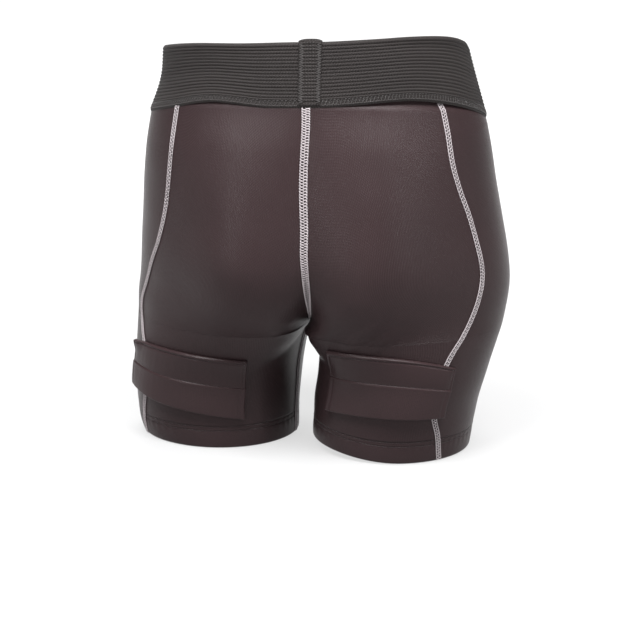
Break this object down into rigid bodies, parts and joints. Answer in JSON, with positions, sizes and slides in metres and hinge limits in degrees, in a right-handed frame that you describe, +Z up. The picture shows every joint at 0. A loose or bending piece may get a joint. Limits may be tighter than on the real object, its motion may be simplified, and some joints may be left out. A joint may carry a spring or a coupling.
{
  "type": "compression shorts with sock tabs and cup pocket",
  "caption": "Worn-shape compression shorts with wide elastic waistband, contrast flatlock seams, hook-and-loop sock tabs on the thighs and a removable cup.",
  "frame": {"origin": "centre of the footprint of the bounding box, on the plane that both leg hems stand on", "axes": "+Z up, the wearer faces -Y, the wearer's left is +X"},
  "size_m": [0.2916, 0.2132, 0.3227],
  "materials": {
    "body_fabric": "charcoal polyester and elastane knit with a fine eyelet pattern",
    "tab_fabric": "same charcoal knit, doubled",
    "band_elastic": "ribbed elastic webbing",
    "seam_thread": "light grey flatlock thread",
    "hook_tape": "black hook tape",
    "loop_tape": "black loop tape",
    "liner_mesh": "dark grey open mesh",
    "cup_plastic": "white moulded polypropylene",
    "cup_rim": "dark grey soft rubber",
    "label": "plain woven satin, blank"
  },
  "bodies": {
    "root": {"back_panel_left": "body_fabric", "back_panel_right": "body_fabric", "back_side_seam_left": "seam_thread", "back_side_seam_right": "seam_thread", "back_tab_band_left": "tab_fabric", "back_tab_band_right": "tab_fabric", "back_tab_loop_tape_left": "loop_tape", "back_tab_loop_tape_right": "loop_tape", "care_label": "label", "centre_back_seam": "seam_thread", "front_tab_band_left": "tab_fabric", "front_tab_band_right": "tab_fabric", "front_tab_loop_tape_left": "loop_tape", "front_tab_loop_tape_right": "loop_tape", "inseam_left": "seam_thread", "inseam_right": "seam_thread", "leg_hem_left": "body_fabric", "leg_hem_right": "body_fabric", "pocket_binding": "band_elastic", "pouch_liner": "liner_mesh", "pouch_panel": "body_fabric", "pouch_seam_left": "seam_thread", "pouch_seam_right": "seam_thread", "side_panel_left": "body_fabric", "side_panel_right": "body_fabric", "waistband": "band_elastic", "waistband_overlap": "band_elastic"},
    "back_flap_left": {"back_tab_flap_left": "tab_fabric", "back_tab_hook_tape_left": "hook_tape"},
    "back_flap_right": {"back_tab_flap_right": "tab_fabric", "back_tab_hook_tape_right": "hook_tape"},
    "front_flap_left": {"front_tab_flap_left": "tab_fabric", "front_tab_hook_tape_left": "hook_tape"},
    "front_flap_right": {"front_tab_flap_right": "tab_fabric", "front_tab_hook_tape_right": "hook_tape"},
    "cup": {"cup_shell": "cup_plastic", "cup_rim_pad": "cup_rim"}
  },
  "joints": [
    {"name": "back_flap_left_lift", "type": "hinge", "parent": "root", "child": "back_flap_left", "pos_m": [0.10313, 0.05633, 0.05598], "axis": [0.9434, -0.3129, 0.1095], "range_deg": [0, 75]},
    {"name": "back_flap_right_lift", "type": "hinge", "parent": "root", "child": "back_flap_right", "pos_m": [-0.06453, 0.07968, 0.06505], "axis": [0.999, 0.0062, 0.0437], "range_deg": [0, 75]},
    {"name": "front_flap_left_lift", "type": "hinge", "parent": "root", "child": "front_flap_left", "pos_m": [0.08237, -0.08377, 0.05278], "axis": [-0.9976, -0.0296, -0.0627], "range_deg": [0, 75]},
    {"name": "front_flap_right_lift", "type": "hinge", "parent": "root", "child": "front_flap_right", "pos_m": [-0.08525, -0.06246, 0.05278], "axis": [-0.9604, 0.2717, 0.0619], "range_deg": [0, 75]},
    {"name": "cup_slide", "type": "slide", "parent": "root", "child": "cup", "axis": [0, 0.1219, 0.9925], "range_m": [0, 0.2]}
  ]
}
